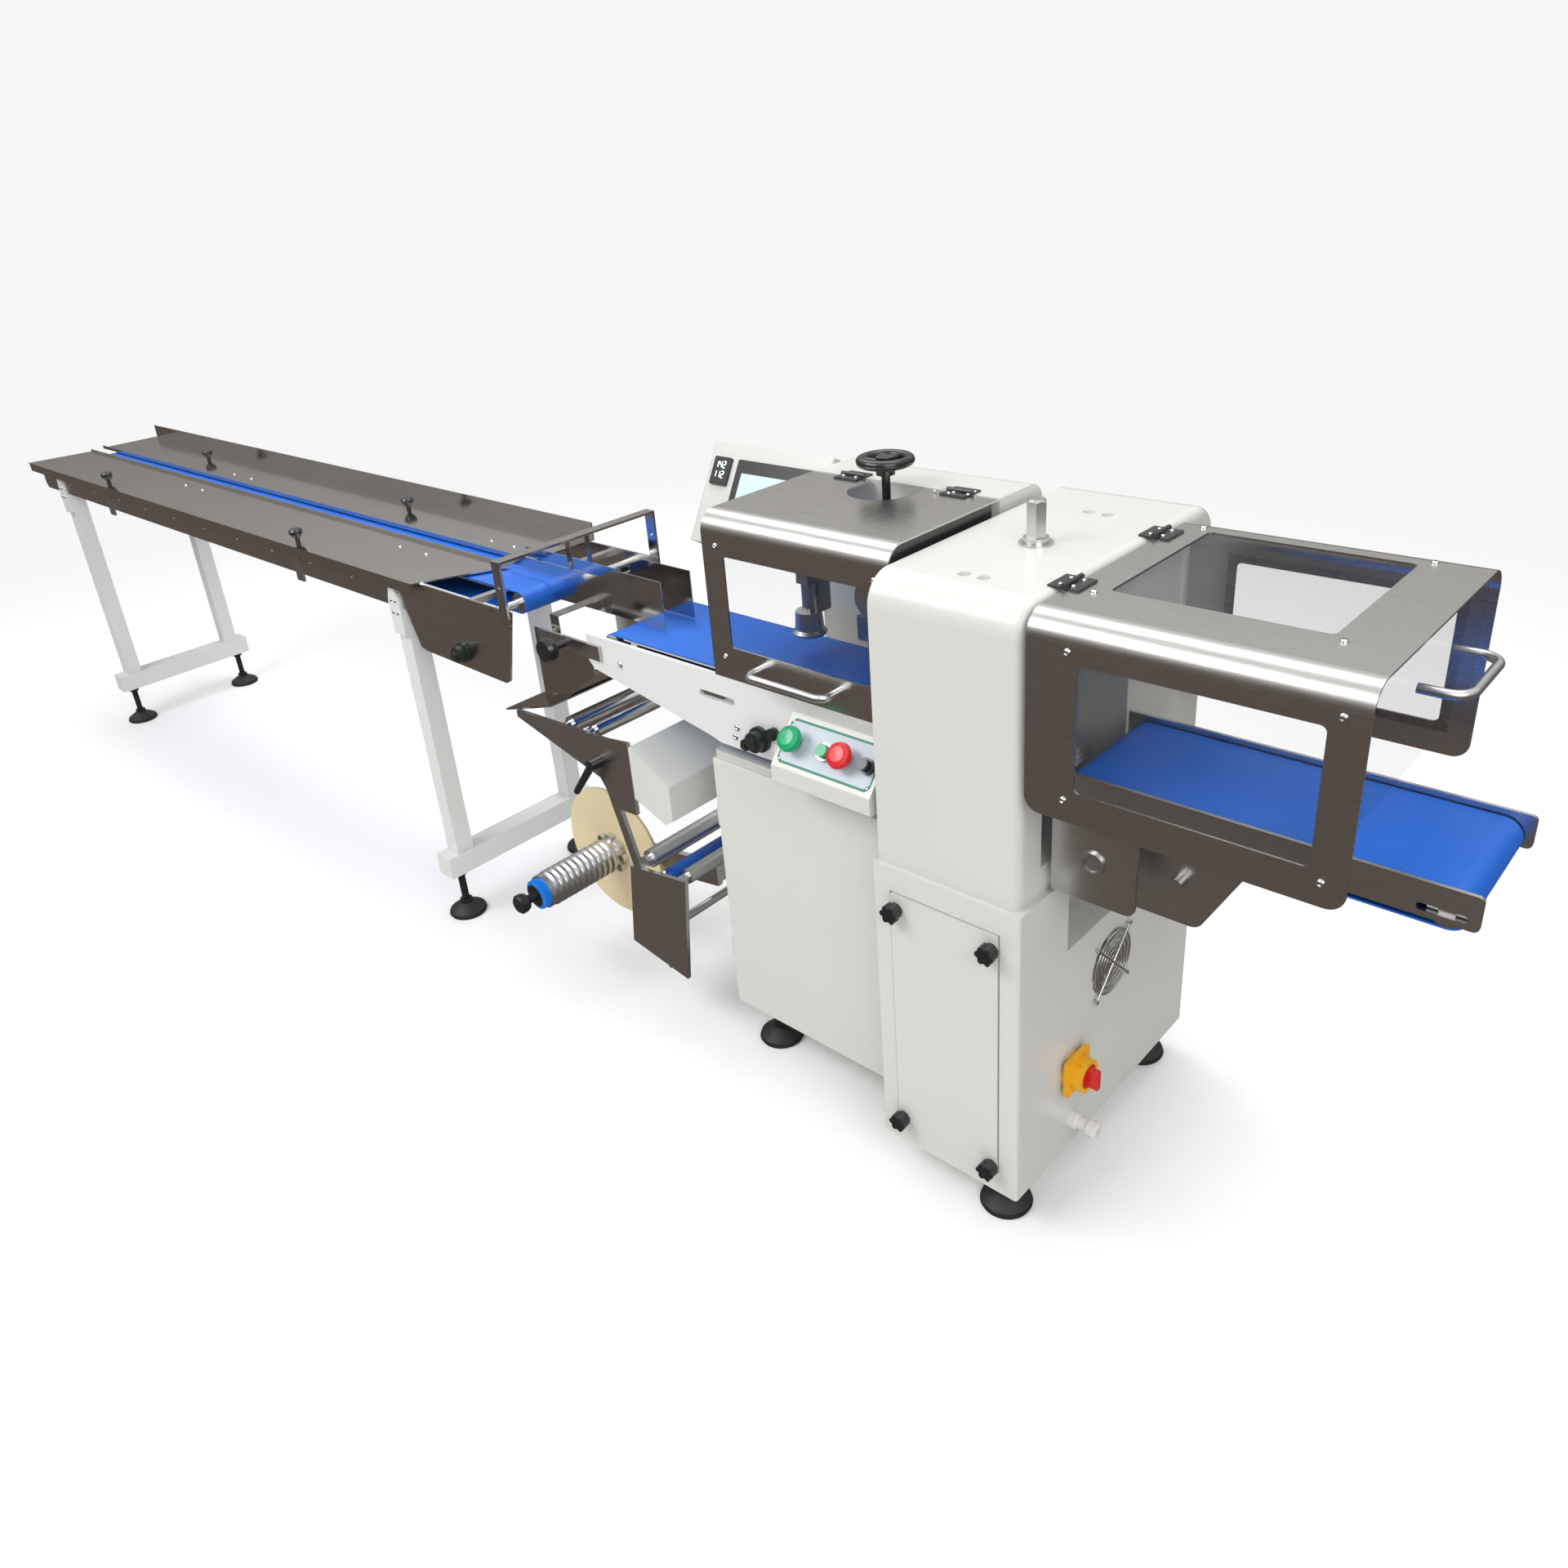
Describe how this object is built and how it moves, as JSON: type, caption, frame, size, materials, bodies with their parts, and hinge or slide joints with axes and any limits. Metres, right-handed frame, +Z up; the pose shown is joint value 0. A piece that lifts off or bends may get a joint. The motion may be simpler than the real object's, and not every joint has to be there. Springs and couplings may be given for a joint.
{
  "type": "horizontal flow wrapper",
  "caption": "Horizontal flow wrapping machine with a long infeed table, film reel, forming box, hinged covers, sealing tower, discharge belt and operator terminal.",
  "frame": {"origin": "middle of the overall box in plan, on the floor", "axes": "+X along the product flow from infeed to discharge, +Y from the operator side to the rear, +Z up"},
  "size_m": [3.994, 0.636, 1.096],
  "materials": {
    "white_paint": "semi-gloss powder coat",
    "grey_paint": "fine-textured powder coat",
    "stainless": "brushed",
    "chrome": "polished",
    "aluminium": "satin anodised",
    "blue_belt": "matt",
    "clear_panel": "clear",
    "black_plastic": "fine grain",
    "black_paint": "satin",
    "foot_rubber": "matt",
    "beige_disc": "matt",
    "green_plastic": "gloss",
    "red_plastic": "gloss",
    "yellow_plastic": "gloss",
    "fitting": "gloss"
  },
  "bodies": {
    "machine": {"jaw_cabinet": "grey_paint", "cabinet_doors": "grey_paint", "clamp_knobs": "black_plastic", "levelling_feet": "foot_rubber", "cooling_fan": "stainless", "isolator_base": "yellow_plastic", "air_fitting": "fitting", "jaw_tower": "grey_paint", "height_adjuster": "stainless", "mid_cabinet": "grey_paint", "mid_side_plates": "white_paint", "conveyor_belts": "blue_belt", "belt_rollers": "stainless", "slider_beds": "stainless", "flange_bearings": "black_paint", "nose_arms": "stainless", "infeed_side_plates": "white_paint", "front_table_plate": "stainless", "rear_table_plate": "stainless", "table_brackets": "stainless", "leg_frames": "white_paint", "former_box": "white_paint", "former_fins": "stainless", "exit_bridge": "stainless", "film_frame": "grey_paint", "film_motor_cover": "grey_paint", "reel_arm": "stainless", "control_panel": "grey_paint", "button_bezels": "chrome", "rear_housing": "grey_paint", "hmi_box": "grey_paint", "displays": "black_plastic", "hinge_leaves": "stainless", "sealing_unit": "stainless", "discharge_side_plates": "stainless", "discharge_brackets": "stainless", "sealing_jaws": "stainless", "film_guide_bars": "chrome"},
    "fin_cover": {"fin_cover_shell": "stainless", "fin_cover_front": "black_paint", "fin_cover_window": "clear_panel", "fin_cover_handle": "aluminium", "fin_cover_hinges": "stainless"},
    "discharge_cover": {"discharge_cover_shell": "stainless", "discharge_cover_panes": "clear_panel", "discharge_cover_handle": "aluminium", "discharge_cover_hinges": "stainless"},
    "film_reel": {"reel_disc": "beige_disc", "reel_mandrel": "aluminium", "reel_knob": "black_plastic"},
    "handwheel": {"handwheel": "black_plastic"},
    "isolator_handle": {"isolator_handle": "red_plastic"},
    "clamp_lever": {"clamp_lever": "black_plastic"},
    "selector_knob": {"selector_knob": "black_plastic"},
    "cycle_button": {"cycle_button": "green_plastic"},
    "start_button": {"start_button": "green_plastic"},
    "stop_button": {"stop_button": "red_plastic"},
    "left_idler": {"left_idler": "aluminium"},
    "middle_idler": {"middle_idler": "aluminium"},
    "right_idler": {"right_idler": "aluminium"}
  },
  "joints": [
    {"name": "fin_cover_hinge", "type": "hinge", "parent": "machine", "child": "fin_cover", "pos_m": [0.859, 0.114, 1.047], "axis": [-1, 0, 0], "range_deg": [0, 80]},
    {"name": "discharge_cover_hinge", "type": "hinge", "parent": "machine", "child": "discharge_cover", "pos_m": [1.478, -0.047, 1.029], "axis": [0, -1, 0], "range_deg": [0, 90]},
    {"name": "handwheel_turn", "type": "hinge", "parent": "machine", "child": "handwheel", "pos_m": [1.037, 0.082, 1.088], "axis": [0, 0, 1], "continuous": true},
    {"name": "reel_spin", "type": "hinge", "parent": "machine", "child": "film_reel", "pos_m": [0.394, -0.068, 0.224], "axis": [0, 1, 0], "continuous": true},
    {"name": "left_idler_spin", "type": "hinge", "parent": "machine", "child": "left_idler", "pos_m": [0.64, -0.047, 0.347], "axis": [0, 1, 0], "continuous": true},
    {"name": "middle_idler_spin", "type": "hinge", "parent": "machine", "child": "middle_idler", "pos_m": [0.698, -0.047, 0.33], "axis": [0, 1, 0], "continuous": true},
    {"name": "right_idler_spin", "type": "hinge", "parent": "machine", "child": "right_idler", "pos_m": [0.74, -0.047, 0.345], "axis": [0, 1, 0], "continuous": true},
    {"name": "isolator_turn", "type": "hinge", "parent": "machine", "child": "isolator_handle", "pos_m": [1.51, -0.072, 0.227], "axis": [1, 0, 0], "range_deg": [0, 90]},
    {"name": "clamp_lever_turn", "type": "hinge", "parent": "machine", "child": "clamp_lever", "pos_m": [0.563, -0.192, 0.541], "axis": [0, 1, 0], "range_deg": [-40, 40]},
    {"name": "selector_turn", "type": "hinge", "parent": "machine", "child": "selector_knob", "pos_m": [1.202, -0.188, 0.7185], "axis": [0, -0.7561, 0.6545], "range_deg": [-45, 45]},
    {"name": "cycle_button_press", "type": "slide", "parent": "machine", "child": "cycle_button", "axis": [0, 0.7561, -0.6545], "range_m": [0, 0.004], "stiffness_N_per_m": 400, "springref_m": -0.002},
    {"name": "start_button_press", "type": "slide", "parent": "machine", "child": "start_button", "axis": [0, 0.7561, -0.6545], "range_m": [0, 0.004], "stiffness_N_per_m": 400, "springref_m": -0.002},
    {"name": "stop_button_press", "type": "slide", "parent": "machine", "child": "stop_button", "axis": [0, 0.7561, -0.6545], "range_m": [0, 0.004], "stiffness_N_per_m": 400, "springref_m": -0.002}
  ]
}
